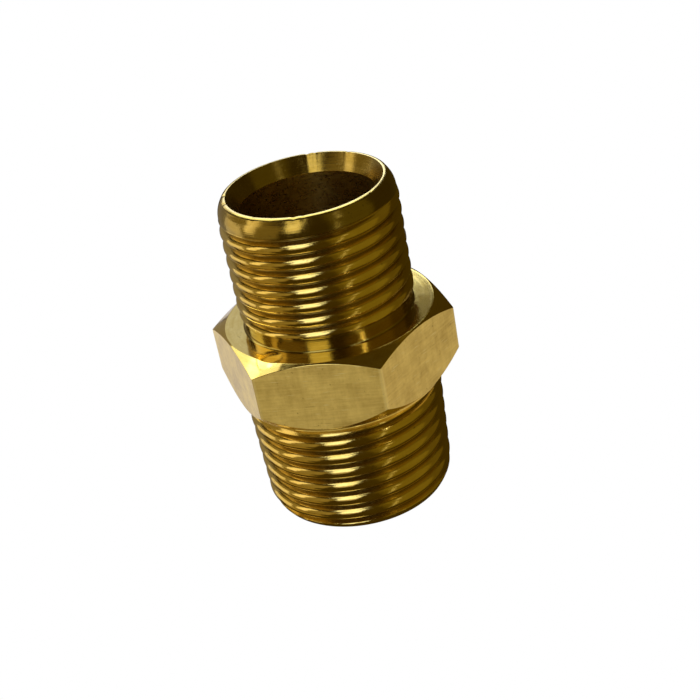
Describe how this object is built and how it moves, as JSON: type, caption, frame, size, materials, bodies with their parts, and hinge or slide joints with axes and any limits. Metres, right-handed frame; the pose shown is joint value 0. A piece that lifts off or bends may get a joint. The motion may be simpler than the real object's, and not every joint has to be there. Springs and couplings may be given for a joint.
{
  "type": "hex nipple",
  "caption": "Brass hex nipple: a hexagon collar between a parallel male thread with a coned nose and a taper male thread, with a through bore.",
  "frame": {"origin": "centre of the lower end face, on the bore axis", "axes": "+Z along the bore axis, from the taper thread towards the coned nose; +X and +Y across it"},
  "size_m": [0.0288, 0.028, 0.0403],
  "materials": {
    "turned_brass": "polished, fine turning marks",
    "drawn_brass": "satin drawn bar, light scratches"
  },
  "bodies": {
    "root": {"coned_nose": "turned_brass", "parallel_thread": "turned_brass", "relief_neck": "turned_brass", "hex_collar": "drawn_brass", "taper_thread": "turned_brass", "tail_end": "turned_brass"}
  },
  "joints": []
}
